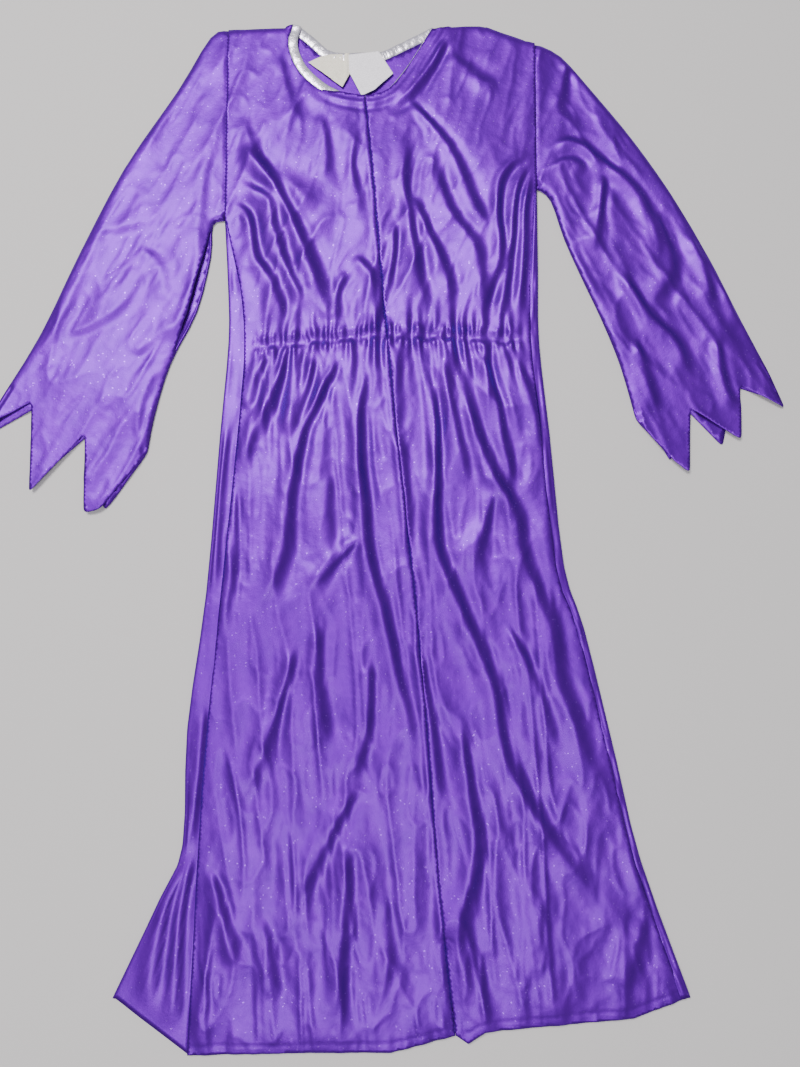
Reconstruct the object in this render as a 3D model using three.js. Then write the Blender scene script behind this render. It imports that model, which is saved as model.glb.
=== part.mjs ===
// A child's long satin costume dress, laid flat on its back with its front upwards.
// Real cloth is about 0.2 mm thick. Here each layer is a flat plate that stands for the
// cloth and its small folds, and the inside of the dress is kept open between the layers.
//
// X runs across the dress towards the wearer's left, Y runs up it towards the neck, and Z is up.
// A "drop" is a distance down the dress from the top of the shoulders, so y = -drop.
// The finished group is moved so that its origin is the middle of its box, at the bottom.

import * as THREE from 'three';

// ---------- Driving dimensions, in millimetres ----------

// Layers
const clothThickness = 1.5; // one layer of satin
const insideHeight = 10; // between the front and the back of the body
const sleeveInsideHeight = 7; // between the two layers of a sleeve
const gap = 0.3; // between two pieces that touch
const seamThickness = 1.2; // seam allowances and turned hems
const seamWidth = 6; // a standing seam, across its line
const allowanceWidth = 12; // a pressed-open seam, across its line
const edgeInset = 2; // from the edge of a panel to the seam inside it
const sleeveClearance = 1; // between the body and a sleeve that folds over it
const closest = 1; // points of a path nearer than this to its cut end are dropped

// Body
const dressLength = 1030;
const waistDrop = 340;
const neckCentre = -18.5;
const neckHalfWidth = 69.5;
const shoulderDrop = 2; // at the neck
const frontNeckDepth = 77;
const backNeckDepth = 30;
const bindingWidth = 7;
const bindingThickness = 2.2;
const slitLength = 150;
const elasticWidth = 9;
const elasticThickness = 1.5;
const hemWidth = 8;
const centreFrontLean = 88; // how far the centre front seam wanders towards the left at the hem
const centreBackLean = 45;
const bodiceBend = { down: 0.55, out: 0.75 }; // where a side edge bends, as shares of the bodice
const seamLift = 20; // how far above a turned hem the seams inside stop
const tangentShare = 0.1; // a neckline runs level for this share on each side of its middle

// The share of its length, and the share of its lean, at which a centre seam passes
const centreDrift = [[0, 0], [0.15, 0.14], [0.32, 0.3], [0.6, 0.62], [0.85, 0.83], [1, 1]];

// How far the elastic lies above the waist at the right seam, the middle and the left seam
const elasticRise = { right: -5, middle: 6, left: 2 };

// Labels and the closure at the top of the back slit
const labelThickness = 0.8;
const labelInset = 2; // from the back neckline down to the sewn edge of a label
const sizeLabel = { width: 30, length: 24, centre: -53, turn: 4 };
const careLabel = { width: 31, length: 35, centre: -19, turn: 14 };
const tapeThickness = 0.9;
const tapeWidth = 20;
const tapeLength = 24;
const tapeDrop = 8; // from the back neckline down to the tapes

// Each side of the dress. sign is the side of X that it lies on. Widths are measured from X = 0.
// A shoulder is a list of [share of the shoulder, drop], a neckline of [share of the neck's half
// width, share of its depth], and a skirt edge of [share of the skirt's length, share of its flare].
const sides = {
  left: {
    sign: 1,
    armholeHalf: 158,
    shoulder: [[0.42, 0], [0.64, 7]],
    frontNeck: [[0.33, 0.92], [0.6, 0.63], [0.82, 0.32]],
    backNeck: [[0.25, 0.96], [0.45, 0.74], [0.78, 0.35]],
    armholeTop: 20,
    underarmDrop: 178,
    frontWaist: 150,
    frontHem: 286,
    frontEdge: [[0.1, 0.05], [0.33, 0.16], [0.42, 0.31], [0.6, 0.52], [0.74, 0.68], [0.927, 1]],
    backWaist: 158,
    backHem: 293,
    backEdge: [[0.14, 0.07], [0.33, 0.16], [0.42, 0.3], [0.6, 0.51], [0.74, 0.67], [0.924, 1]],
  },
  right: {
    sign: -1,
    armholeHalf: 163,
    shoulder: [[0.5, 3]],
    frontNeck: [[0.35, 0.96], [0.66, 0.83], [0.93, 0.58], [1.05, 0.28]],
    backNeck: [[0.35, 1.02], [0.58, 0.9], [0.8, 0.45]],
    armholeTop: 5,
    underarmDrop: 212,
    frontWaist: 141,
    frontHem: 184,
    frontEdge: [[0.1, 0.07], [0.37, 0.44], [0.64, 0.79], [1, 1]],
    backWaist: 157,
    backHem: 256,
    backEdge: [[0.14, 0.07], [0.37, 0.18], [0.56, 0.34], [0.72, 0.36], [0.79, 0.56], [0.925, 1]],
  },
};

// Hems: [share of the way from the right corner to the left corner, rise above a straight line].
const frontHemRise = [[0.25, -10], [0.41, -18], [0.47, -14], [0.54, -9], [0.565, -18], [0.6, -9], [0.9, -12]];
const backHemRise = [[0.12, -28], [0.5, -26], [0.85, -12]];

// Sleeves. reach is measured out from the armhole, and an edge is [share of reach, share of drop].
// A tooth is [share of the way from the outer to the inner end of the cuff, how far it hangs].
const sleeves = {
  left: {
    outer: { reach: 232, drop: 372 },
    inner: { reach: 96, drop: 420 },
    outerEdge: [[0.115, 0.04], [0.26, 0.155], [0.43, 0.3], [0.59, 0.46], [0.74, 0.64], [0.86, 0.81]],
    innerEdge: [[0.14, 0.05], [0.28, 0.22], [0.47, 0.4], [0.66, 0.57], [0.85, 0.77]],
    frontTeeth: [[-0.11, 42], [0.225, 2], [0.23, 58], [0.6, 8], [0.62, 73], [0.74, 54]],
    backTeeth: [[-0.05, 30], [0.27, 0], [0.36, 58], [0.64, 4], [0.75, 55], [0.8, 40]],
  },
  right: {
    outer: { reach: 222, drop: 398 },
    inner: { reach: 73, drop: 454 },
    outerEdge: [[0.08, 0.02], [0.23, 0.17], [0.47, 0.385], [0.66, 0.61], [0.83, 0.83]],
    innerEdge: [[0.16, 0.02], [0.18, 0.16], [0.36, 0.4], [0.71, 0.62], [0.92, 0.85]],
    frontTeeth: [[-0.1, 36], [0.21, -8], [0.22, 84], [0.58, 4], [0.59, 84], [0.7, 74]],
    backTeeth: [[-0.04, 36], [0.24, -4], [0.27, 66], [0.6, 4], [0.72, 74], [0.78, 60]],
  },
};

// ---------- Levels ----------

const bodyHeight = insideHeight + 2 * clothThickness;
const frontBottom = bodyHeight - clothThickness;
const sleeveHeight = sleeveInsideHeight + 2 * clothThickness;
const backTop = clothThickness + gap; // where a piece rests on the back of the dress
const underFront = frontBottom - gap; // where a piece lies against the front of the dress
const skirtLength = dressLength - waistDrop;
const cutBack = bindingWidth + gap; // from the finished neckline to the edge of the panels

// ---------- Colours ----------

const violet = { color: 0x6a35cc, roughness: 0.42, metalness: 0.1 };
const seamViolet = { color: 0x56289f, roughness: 0.7, metalness: 0 };
const silver = { color: 0xd6d2e0, roughness: 0.3, metalness: 0.7 };
const creamCloth = { color: 0xf2ecdc, roughness: 0.8, metalness: 0 };
const whiteCloth = { color: 0xf6f2fa, roughness: 0.75, metalness: 0 };
const elasticViolet = { color: 0x5a2bb0, roughness: 0.85, metalness: 0 };
const tapeWhite = { color: 0xe8e6ee, roughness: 0.95, metalness: 0 };

// ---------- Drawing ----------

const point = (x, drop) => new THREE.Vector2(x, -drop);

/** Points along a smooth curve that passes through the given points. */
function smooth(points, steps = 3) {
  return new THREE.SplineCurve(points).getPoints(steps * (points.length - 1));
}

/** A path moved sideways by a distance, to the left of the way it runs. */
function offset(path, distance) {
  return path.map((here, i) => {
    const before = path[Math.max(i - 1, 0)];
    const after = path[Math.min(i + 1, path.length - 1)];
    const along = after.clone().sub(before).normalize();
    return new THREE.Vector2(here.x - along.y * distance, here.y + along.x * distance);
  });
}

/** The outline of a strip that runs beside a path, from one distance to another. */
const strip = (path, near, far) => [...offset(path, near), ...offset(path, far).reverse()];

const dress = new THREE.Group();

function addMesh(name, geometry, look, parent = dress) {
  const mesh = new THREE.Mesh(geometry, new THREE.MeshStandardMaterial(look));
  mesh.name = name;
  parent.add(mesh);
  return mesh;
}

/** A flat piece: an outline raised from one height by a thickness. */
function addPlate(name, outline, bottom, thickness, look, parent = dress) {
  const shape = new THREE.Shape(outline);
  const geometry = new THREE.ExtrudeGeometry(shape, { depth: thickness, bevelEnabled: false });
  const mesh = addMesh(name, geometry, look, parent);
  mesh.position.z = bottom;
  return mesh;
}

// ---------- Lines of the pattern ----------

const cornerDrop = (side, edge) => waistDrop + side[edge].at(-1)[0] * skirtLength;

/** The finished neckline from the middle to one shoulder, on the front or the back. */
function neckline(side, depth, shares) {
  const across = (share) => neckCentre + side.sign * share * neckHalfWidth;
  return smooth([
    point(neckCentre, depth),
    point(across(tangentShare), depth),
    ...shares.map(([out, down]) => point(across(out), depth * down)),
    point(across(1), shoulderDrop),
  ]);
}

const frontNeckline = (side) => neckline(side, frontNeckDepth, side.frontNeck);
const backNeckline = (side) => neckline(side, backNeckDepth, side.backNeck);

/** The shoulder from the edge of the neck binding to the armhole. */
function shoulderLine(side) {
  const neckEdge = neckCentre + side.sign * (neckHalfWidth + cutBack);
  const armhole = side.sign * side.armholeHalf;
  const along = (share) => neckEdge + share * (armhole - neckEdge);
  return smooth([
    point(neckEdge, shoulderDrop),
    ...side.shoulder.map(([share, drop]) => point(along(share), drop)),
    point(armhole, side.armholeTop),
  ]);
}

/** A side edge from the underarm to the corner of the hem. */
function sideEdge(side, waist, hem, shares) {
  const x = (half) => side.sign * half;
  const bendDrop = side.underarmDrop + bodiceBend.down * (waistDrop - side.underarmDrop);
  return smooth([
    point(x(side.armholeHalf), side.underarmDrop),
    point(x(side.armholeHalf + bodiceBend.out * (waist - side.armholeHalf)), bendDrop),
    point(x(waist), waistDrop),
    ...shares.map(([down, out]) =>
      point(x(waist + out * (hem - waist)), waistDrop + down * skirtLength)),
  ]);
}

const frontSide = (side) => sideEdge(side, side.frontWaist, side.frontHem, side.frontEdge);
const backSide = (side) => sideEdge(side, side.backWaist, side.backHem, side.backEdge);

/** A centre seam from the neck to the hem. It drifts a little, as laid cloth does. */
function centreLine(neckDepth, lean, hemDrop) {
  const span = hemDrop - neckDepth;
  return smooth(centreDrift.map(([down, out]) => point(neckCentre + out * lean, neckDepth + down * span)));
}

/** A hem from the right corner to the left corner. */
function hemLine(edge, hem, rises) {
  const right = point(-sides.right[hem], cornerDrop(sides.right, edge));
  const left = point(sides.left[hem], cornerDrop(sides.left, edge));
  const between = rises.map(([share, rise]) => {
    const straight = right.clone().lerp(left, share);
    return new THREE.Vector2(straight.x, straight.y + rise);
  });
  return [right, ...between, left];
}

const frontHem = hemLine('frontEdge', 'frontHem', frontHemRise);
const backHem = hemLine('backEdge', 'backHem', backHemRise);

/** The hem's lowest point where a centre seam that leans this far meets it. */
function hemMeeting(hem, lean) {
  const x = neckCentre + lean;
  const after = hem.findIndex((p) => p.x > x);
  const [a, b] = [hem[after - 1], hem[after]];
  return point(x, -(a.y + ((b.y - a.y) * (x - a.x)) / (b.x - a.x)));
}

const frontMeeting = hemMeeting(frontHem, centreFrontLean);
const backMeeting = hemMeeting(backHem, centreBackLean);
const centreFront = centreLine(frontNeckDepth, centreFrontLean, -frontMeeting.y);
const centreBack = centreLine(backNeckDepth, centreBackLean, -backMeeting.y);

// ---------- Body ----------

/** One panel: half of the front or of the back, from the shoulder to the hem. */
function panelOutline(side, neck, edge, centre, hem, meeting) {
  const cutNeck = offset(neck, side.sign * -cutBack);
  const middle = offset(centre, side.sign * (gap / 2));
  const below = cutNeck[0].y;
  const ownHem = hem.filter((p) => side.sign * (p.x - meeting.x) > gap);
  const towardsMiddle = side.sign > 0 ? [...ownHem].reverse() : ownHem;
  return [
    ...cutNeck.slice(1),
    ...shoulderLine(side).slice(1),
    ...edge,
    ...towardsMiddle.slice(1),
    ...middle.filter((p) => p.y < below - gap).reverse(),
    new THREE.Vector2(middle[0].x, below),
  ];
}

for (const [name, side] of Object.entries(sides)) {
  const front = panelOutline(
    side, frontNeckline(side), frontSide(side), centreFront, frontHem, frontMeeting);
  const back = panelOutline(
    side, backNeckline(side), backSide(side), centreBack, backHem, backMeeting);
  addPlate(`${name}_front_panel`, front, frontBottom, clothThickness, violet);
  addPlate(`${name}_back_panel`, back, 0, clothThickness, violet);
}

// ---------- Neck binding ----------

const bindingRise = bindingThickness - clothThickness;

function addFrontBinding() {
  const [left, right] = [sides.left, sides.right].map(frontNeckline);
  const whole = [...right.reverse(), ...left.slice(1)];
  const outline = strip(whole, 0, -bindingWidth);
  addPlate('front_neck_binding', outline, frontBottom, bindingThickness, silver);
}

/** Half of the back binding: it stops at the slit. */
function addBackBinding(name, side) {
  const path = backNeckline(side);
  path[0] = new THREE.Vector2(path[0].x + (side.sign * gap) / 2, path[0].y);
  const outline = strip(path, 0, side.sign * -bindingWidth);
  addPlate(`${name}_back_neck_binding`, outline, 0, bindingThickness, silver);
}

addFrontBinding();
for (const [name, side] of Object.entries(sides)) addBackBinding(name, side);

// ---------- Seams, hems and the waist elastic ----------

const standingHeight = insideHeight - 2 * gap;
const seamEnd = hemWidth + seamLift;

/** A path cut to run from one drop to another. */
function trimmed(path, from, to) {
  const at = (drop) => {
    const i = Math.max(path.findIndex((p) => -p.y > drop), 1);
    const [a, b] = [path[i - 1], path[i]];
    return a.clone().lerp(b, (-drop - a.y) / (b.y - a.y));
  };
  const inside = path.filter((p) => -p.y > from + closest && -p.y < to - closest);
  return [at(from), ...inside, at(to)];
}

function addSideSeam(name, side) {
  const top = side.underarmDrop + edgeInset;
  const bottom = Math.min(cornerDrop(side, 'frontEdge'), cornerDrop(side, 'backEdge')) - seamEnd;
  const path = trimmed(frontSide(side), top, bottom);
  const inward = side.sign * -1;
  const outline = strip(path, inward * edgeInset, inward * (edgeInset + seamWidth));
  addPlate(`${name}_side_seam`, outline, backTop, standingHeight, seamViolet);
}

function addShoulderSeam(name, side) {
  const ringInside = side.armholeHalf - edgeInset - seamWidth - gap;
  const out = (p) => side.sign * p.x;
  const whole = shoulderLine(side);
  const path = whole.filter((p) => out(p) > out(whole[0]) + edgeInset && out(p) < ringInside - closest);
  const inward = side.sign * -1;
  const outline = strip(path, inward * edgeInset, inward * (edgeInset + seamWidth));
  addPlate(`${name}_shoulder_seam`, outline, backTop, standingHeight, seamViolet);
}

/** The ring of seam allowance round an armhole. A sleeve opens through it along X. */
function addArmholeSeam(name, side) {
  const [top, bottom] = [side.armholeTop + edgeInset + seamWidth, side.underarmDrop - edgeInset];
  const rectangle = (high, low, floor, ceiling) => [
    new THREE.Vector2(-low, floor),
    new THREE.Vector2(-high, floor),
    new THREE.Vector2(-high, ceiling),
    new THREE.Vector2(-low, ceiling),
  ];
  const shape = new THREE.Shape(rectangle(top, bottom, backTop, underFront));
  const inner = rectangle(
    top + seamWidth, bottom - seamWidth, backTop + seamThickness, underFront - seamThickness);
  shape.holes.push(new THREE.Path(inner.reverse()));
  const ring = new THREE.ExtrudeGeometry(shape, { depth: seamWidth, bevelEnabled: false });
  const [x, y, z] = [0, 1, 2].map((axis) => new THREE.Vector3().setComponent(axis, 1));
  ring.applyMatrix4(new THREE.Matrix4().makeBasis(y, z, x));
  const mesh = addMesh(`${name}_armhole_seam`, ring, seamViolet);
  const inside = side.armholeHalf - edgeInset - seamWidth;
  mesh.position.x = side.sign > 0 ? inside : -inside - seamWidth;
}

/** A pressed-open seam that lies flat against a layer, along the centre of the front or back. */
function addCentreSeam(name, line, from, bottom) {
  const path = trimmed(line, from, -line.at(-1).y - seamEnd);
  const outline = strip(path, -allowanceWidth / 2, allowanceWidth / 2);
  addPlate(name, outline, bottom, seamThickness, seamViolet);
}

/** A turned hem, as a band inside the lower edge of a layer. */
function addHem(name, hem, bottom) {
  const inset = edgeInset + seamWidth;
  const stepIn = (corner, next) => corner.clone().lerp(next, inset / corner.distanceTo(next));
  const path = [stepIn(hem[0], hem[1]), hem[1], hem.at(-2), stepIn(hem.at(-1), hem.at(-2))];
  const highest = Math.max(...hem.slice(1, -1).map((p) => p.y - heightOn(path, p.x)));
  const lift = edgeInset + highest;
  addPlate(name, strip(path, lift, lift + hemWidth), bottom, seamThickness, seamViolet);
}

/** The height of a path where it passes a given x. */
function heightOn(path, x) {
  const i = Math.max(path.findIndex((p) => p.x > x), 1);
  const [a, b] = [path[i - 1], path[i]];
  return a.y + ((b.y - a.y) * (x - a.x)) / (b.x - a.x);
}

/** The elastic is stitched inside the front only, from one side seam to the other. */
function addWaistElastic() {
  const inside = (side) => side.sign * (side.frontWaist - 2 * edgeInset - seamWidth);
  const path = smooth([
    point(inside(sides.right), waistDrop - elasticRise.right),
    point(0, waistDrop - elasticRise.middle),
    point(inside(sides.left), waistDrop - elasticRise.left),
  ], 5);
  const bottom = underFront - seamThickness - gap - elasticThickness;
  const outline = strip(path, -elasticWidth / 2, elasticWidth / 2);
  addPlate('waist_elastic', outline, bottom, elasticThickness, elasticViolet);
}

for (const [name, side] of Object.entries(sides)) {
  addSideSeam(name, side);
  addShoulderSeam(name, side);
  addArmholeSeam(name, side);
}
const frontSeamBottom = underFront - seamThickness;
const frontSeamTop = frontNeckDepth + cutBack + edgeInset;
addCentreSeam('centre_front_seam', centreFront, frontSeamTop, frontSeamBottom);
addCentreSeam('centre_back_seam', centreBack, backNeckDepth + slitLength, backTop);
addHem('front_hem', frontHem, frontSeamBottom);
addHem('back_hem', backHem, backTop);
addWaistElastic();

// ---------- Closure and labels ----------

const loopBottom = bindingThickness + gap;
const hookBottom = loopBottom + tapeThickness + gap;
const labelBottom = hookBottom + tapeThickness + gap;

function addTape(name, bottom) {
  const top = backNeckDepth + tapeDrop;
  const outline = [
    point(neckCentre - tapeWidth / 2, top + tapeLength),
    point(neckCentre + tapeWidth / 2, top + tapeLength),
    point(neckCentre + tapeWidth / 2, top),
    point(neckCentre - tapeWidth / 2, top),
  ];
  addPlate(name, outline, bottom, tapeThickness, tapeWhite);
}

/** A label hangs from its sewn edge, which is its group's X axis, and lies inside the neck. */
function addLabel(name, label, look) {
  const side = label.centre > neckCentre ? sides.left : sides.right;
  const neck = backNeckline(side);
  const edge = side.sign > 0 ? neck : [...neck].reverse();
  const sewn = new THREE.Group();
  sewn.position.set(label.centre, heightOn(edge, label.centre) - labelInset, 0);
  sewn.rotation.z = THREE.MathUtils.degToRad(label.turn);
  const half = label.width / 2;
  const outline = [
    new THREE.Vector2(-half, -label.length),
    new THREE.Vector2(half, -label.length),
    new THREE.Vector2(half, 0),
    new THREE.Vector2(-half, 0),
  ];
  addPlate(name, outline, labelBottom, labelThickness, look, sewn);
  dress.add(sewn);
}

addTape('loop_tape', loopBottom);
addTape('hook_tape', hookBottom);
addLabel('size_label', sizeLabel, creamCloth);
addLabel('care_label', careLabel, whiteCloth);

// ---------- Sleeves ----------

/** The outer and the inner edge of a sleeve, each from the armhole to the cuff. */
function sleeveEdges(side, sleeve) {
  const start = side.armholeHalf + sleeveClearance;
  const place = (reach, drop) => point(side.sign * (start + reach), drop);
  const run = (from, to, shares) => smooth([
    place(0, from),
    ...shares.map(([out, down]) => place(out * to.reach, from + down * (to.drop - from))),
    place(to.reach, to.drop),
  ]);
  return {
    outer: run(side.armholeTop, sleeve.outer, sleeve.outerEdge),
    inner: run(side.underarmDrop, sleeve.inner, sleeve.innerEdge),
  };
}

function sleeveOutline(edges, teeth) {
  const [from, to] = [edges.outer.at(-1), edges.inner.at(-1)];
  const cuff = teeth.map(([share, hang]) => {
    const base = from.clone().lerp(to, share);
    return new THREE.Vector2(base.x, base.y - hang);
  });
  return [...edges.outer, ...cuff, ...[...edges.inner].reverse()];
}

/** A strip inside one edge of a sleeve, between its two layers. */
function addSleeveEdge(name, side, edge, inward) {
  const path = edge.slice(1, -1);
  const outline = strip(path, inward * edgeInset, inward * (edgeInset + seamWidth));
  addPlate(name, outline, backTop, sleeveInsideHeight - 2 * gap, seamViolet);
}

function addSleeve(name) {
  const side = sides[name];
  const sleeve = sleeves[name];
  const edges = sleeveEdges(side, sleeve);
  const front = sleeveOutline(edges, sleeve.frontTeeth);
  const back = sleeveOutline(edges, sleeve.backTeeth);
  addPlate(`${name}_sleeve_front`, front, sleeveHeight - clothThickness, clothThickness, violet);
  addPlate(`${name}_sleeve_back`, back, 0, clothThickness, violet);
  addSleeveEdge(`${name}_sleeve_fold`, side, edges.outer, -side.sign);
  addSleeveEdge(`${name}_sleeve_seam`, side, edges.inner, side.sign);
}

for (const name of Object.keys(sleeves)) addSleeve(name);

// ---------- Origin: the middle of the box, at the bottom ----------

dress.updateMatrixWorld(true);
const box = new THREE.Box3().setFromObject(dress);
const middle = box.getCenter(new THREE.Vector3());
dress.position.set(-middle.x, -middle.y, -box.min.z);

export default dress;
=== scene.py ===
"""A child's purple satin costume dress, laid flat on its back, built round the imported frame.

Each layer of cloth is a triangulated sheet cut to the outline of its CAD panel. Its height comes
from folds, gathers and crumple. Seams, hems, binding, elastic, labels and tapes follow the paths
of their CAD nodes. Paths and folds are written in millimetres as (x, drop): x runs across the
dress towards the wearer's left, and drop runs down it from the top of the shoulders.
"""

import math

import bpy
import numpy as np
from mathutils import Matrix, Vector
from mathutils.geometry import delaunay_2d_cdt


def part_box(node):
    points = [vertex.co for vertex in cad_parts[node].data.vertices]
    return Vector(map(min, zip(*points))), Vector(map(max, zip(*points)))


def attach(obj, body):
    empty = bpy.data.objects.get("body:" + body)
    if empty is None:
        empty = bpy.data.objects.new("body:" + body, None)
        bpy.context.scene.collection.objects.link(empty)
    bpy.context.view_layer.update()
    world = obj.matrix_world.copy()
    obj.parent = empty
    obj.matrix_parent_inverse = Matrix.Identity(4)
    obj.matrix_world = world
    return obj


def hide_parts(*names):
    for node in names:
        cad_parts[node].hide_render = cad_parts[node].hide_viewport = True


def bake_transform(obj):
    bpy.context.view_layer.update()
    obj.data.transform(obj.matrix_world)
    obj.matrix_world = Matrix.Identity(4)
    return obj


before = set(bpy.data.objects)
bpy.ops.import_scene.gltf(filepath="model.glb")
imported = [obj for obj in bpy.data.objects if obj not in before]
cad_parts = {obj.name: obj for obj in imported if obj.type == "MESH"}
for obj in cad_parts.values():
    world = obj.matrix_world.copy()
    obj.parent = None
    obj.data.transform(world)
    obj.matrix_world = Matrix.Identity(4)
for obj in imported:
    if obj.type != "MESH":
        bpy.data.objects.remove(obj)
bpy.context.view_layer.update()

# ---------- Sizes, in millimetres unless a name says otherwise ----------

MM = 0.001
OUTWARD = {"left": 1, "right": -1}  # the way along x from the middle to each side
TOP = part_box("right_back_panel")[1].y
FINE, COARSE = 2.3, 5.0  # spacing of the points of a sheet
CLOTH = 0.4  # thickness of the satin
BACK_LIFT = 0.7  # height of the back above the table
EDGE_HEIGHT = 2.4  # height at which the front and the back meet
EDGE_ROLL = 9.0  # width over which the front rolls down to an edge
BODY_HEIGHT = 6.0  # height of the front between its folds
SLEEVE_HEIGHT = 5.0
SEAM_LAP = 0.35  # the front panels overlap this far at their seam
ARMHOLE_OVERLAP = 2.5  # a sleeve reaches this far under the body
NARROWEST_SHEET = 10.0  # a strip at least this wide has its length worked out; a narrower strip isn't declared as a sheet
LOWEST, HIGHEST = 3.0, 17.0  # limits of the body's front
SLEEVE_LOWEST, SLEEVE_HIGHEST = 2.4, 13.0  # limits of a sleeve's front
SLEEVE_LEAN = {"left": -0.5, "right": 0.5}  # direction of a sleeve's crumple, in radians
SLEEVE_CRUMPLE = {"left": 0.75, "right": 0.6}  # share of the crumple's height
SLEEVE_FACETS = {"left": 2.2, "right": 1.1}  # height of the facets in the crumple
SLEEVE_FOLD_SHARE = {"left": 1.0, "right": 0.6}  # of the listed height of its folds
SLEEVE_ROLL_OUT = 3.6  # from the middle of a sleeve's edge strip out to its rolled edge
PANEL_EDGE = 5.0  # a sleeve panel reaches this far out past the middle of its edge strip
CUFF_REACH = 40.0  # a sleeve's outline is rounded beyond this distance from the armhole
STITCH_FROM_SEAM = 3.6  # the ridge beside the centre front seam
VALLEY_DEPTH = 0.45  # of a fold's height
GATHER_COUNT = 35
HEM_SLOPE = 90.0  # a hem lies within this of its lowest point
SLIT = (219, 350)  # drops between which the right sleeve's underarm gapes open
SLIT_WIDTH = 9.0
UNDER_FRONT, UNDER_SHOULDER, UNDER_ELASTIC = 0.95, 0.6, 1.6  # depth of strips below the front
OVER_BACK = 0.9  # height of strips above the back
LABEL_THICKNESS, TAPE_THICKNESS = 0.22, 0.35
TABLE_SIZE = 128  # of a noise table
NOISE_START = (31.7, 57.3)  # where in its table the noise starts
STRIP_POINTS, TURN_ROWS, STRIP_ROWS = 170, 9, 12  # along, round and across the back's turned side
SATIN_ROUGHNESS = 0.47

# Stage, in metres, degrees and watts
CAMERA_PLACE = (0.0145, -0.094, 0.847)
CAMERA_TILT, CAMERA_LENS, SENSOR_WIDTH = 5, 28.7, 36
LIGHTS = [  # name, place, size, power, colour
    ("window", (-0.95, 1.3, 3.0), 1.3, 140, (1.0, 0.97, 0.97)),
    ("ceiling", (-0.4, -1.4, 3.0), 1.6, 60, (1.0, 0.97, 0.99)),
]
FLOOR_SIZE, FLOOR_COLOUR = 12, (0.5, 0.49, 0.475, 1)
SKY_COLOUR, SKY_STRENGTH = (0.85, 0.87, 1.0, 1), 0.4

# Each label's outline as it lies, as (x, drop) from the middle of its sewn edge
LABEL_SHAPES = {
    "size_label": [(-26, 9), (-14, 3), (-3, 0), (17, -1), (20, 16), (16, 26), (10, 37)],
    "care_label": [(-18, 0), (14, -4), (29, 21), (10, 39), (-4, 46), (-12, 30), (-17, 20)],
}


# ---------- Reading the frame ----------

def loop_of(node):
    """The outline of a flat CAD piece as an array of (x, drop), in order."""
    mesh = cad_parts[node].data
    floor = min(v.co.z for v in mesh.vertices) + 1e-5
    edges = {}
    for face in mesh.polygons:
        corners = [mesh.vertices[i].co for i in face.vertices]
        if max(c.z for c in corners) > floor:
            continue
        keys = [(round(c.x, 5), round(c.y, 5)) for c in corners]
        for a, b in zip(keys, keys[1:] + keys[:1]):
            if edges.get(b) and a in edges[b]:
                edges[b].remove(a)
            else:
                edges.setdefault(a, []).append(b)
    start = next(a for a in edges if edges[a])
    loop = [start]
    while edges[loop[-1]][0] != start:
        loop.append(edges[loop[-1]][0])
    points = np.array(loop)
    return np.column_stack([points[:, 0], TOP - points[:, 1]]) / MM


def path_of(node):
    """The middle line and the width of a CAD strip."""
    loop = loop_of(node)
    half = len(loop) // 2

    def sides(k):
        turned = np.roll(loop, -k, axis=0)
        return turned[:half], turned[half:][::-1]

    spreads = [np.std(np.linalg.norm(np.subtract(*sides(k)), axis=1)) for k in range(half)]
    one, other = sides(int(np.argmin(spreads)))
    middle = (one + other) / 2
    if np.ptp(middle[:, 0]) > np.ptp(middle[:, 1]):
        forward = middle[0, 0] < middle[-1, 0]
    else:
        forward = middle[0, 1] < middle[-1, 1]
    width = float(np.mean(np.linalg.norm(one - other, axis=1)))
    return (middle if forward else middle[::-1]), width


ARMHOLES = {
    "left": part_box("left_armhole_seam")[1].x / MM + 2,
    "right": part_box("right_armhole_seam")[0].x / MM - 2,
}
UNDERARM = {side: (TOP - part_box(f"{side}_armhole_seam")[0].y) / MM for side in ARMHOLES}
FRONT_LOOPS = {side: loop_of(f"{side}_front_panel") for side in ARMHOLES}
BACK_LOOPS = {side: loop_of(f"{side}_back_panel") for side in ARMHOLES}
CENTRE_FRONT = path_of("centre_front_seam")[0]
NECK = path_of("front_neck_binding")[0]
HEM_WIDTH = path_of("front_hem")[1]
ELASTIC_DROP = float(path_of("waist_elastic")[0][:, 1].mean())


# ---------- Geometry ----------

def smoothstep(t):
    t = np.clip(t, 0, 1)
    return t * t * (3 - 2 * t)


def resampled(path, step, closed=False):
    """Points along a path about step apart. Corners stay."""
    ends = np.roll(path, -1, axis=0) if closed else path[1:]
    out = []
    for a, b in zip(path, ends):
        n = max(1, round(float(np.linalg.norm(b - a)) / step))
        out += [a + (b - a) * k / n for k in range(n)]
    return np.array(out if closed else out + [path[-1]])


def even(path, count):
    """A path as a number of points spaced evenly along it."""
    run = np.concatenate([[0], np.cumsum(np.linalg.norm(np.diff(path, axis=0), axis=1))])
    at = np.linspace(0, run[-1], count)
    return np.column_stack([np.interp(at, run, path[:, 0]), np.interp(at, run, path[:, 1])])


def smooth_path(points, steps=8):
    """A Catmull-Rom curve through a few points."""
    p = np.array(points, float)
    p = np.vstack([2 * p[0] - p[1], p, 2 * p[-1] - p[-2]])
    t = (np.arange(steps) / steps)[:, None]
    out = []
    for a, b, c, d in zip(p, p[1:], p[2:], p[3:]):
        out.append(0.5 * (2 * b + (c - a) * t + (2 * a - 5 * b + 4 * c - d) * t**2
                          + (3 * b - a - 3 * c + d) * t**3))
    return np.vstack(out + [p[-2][None]])


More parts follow.
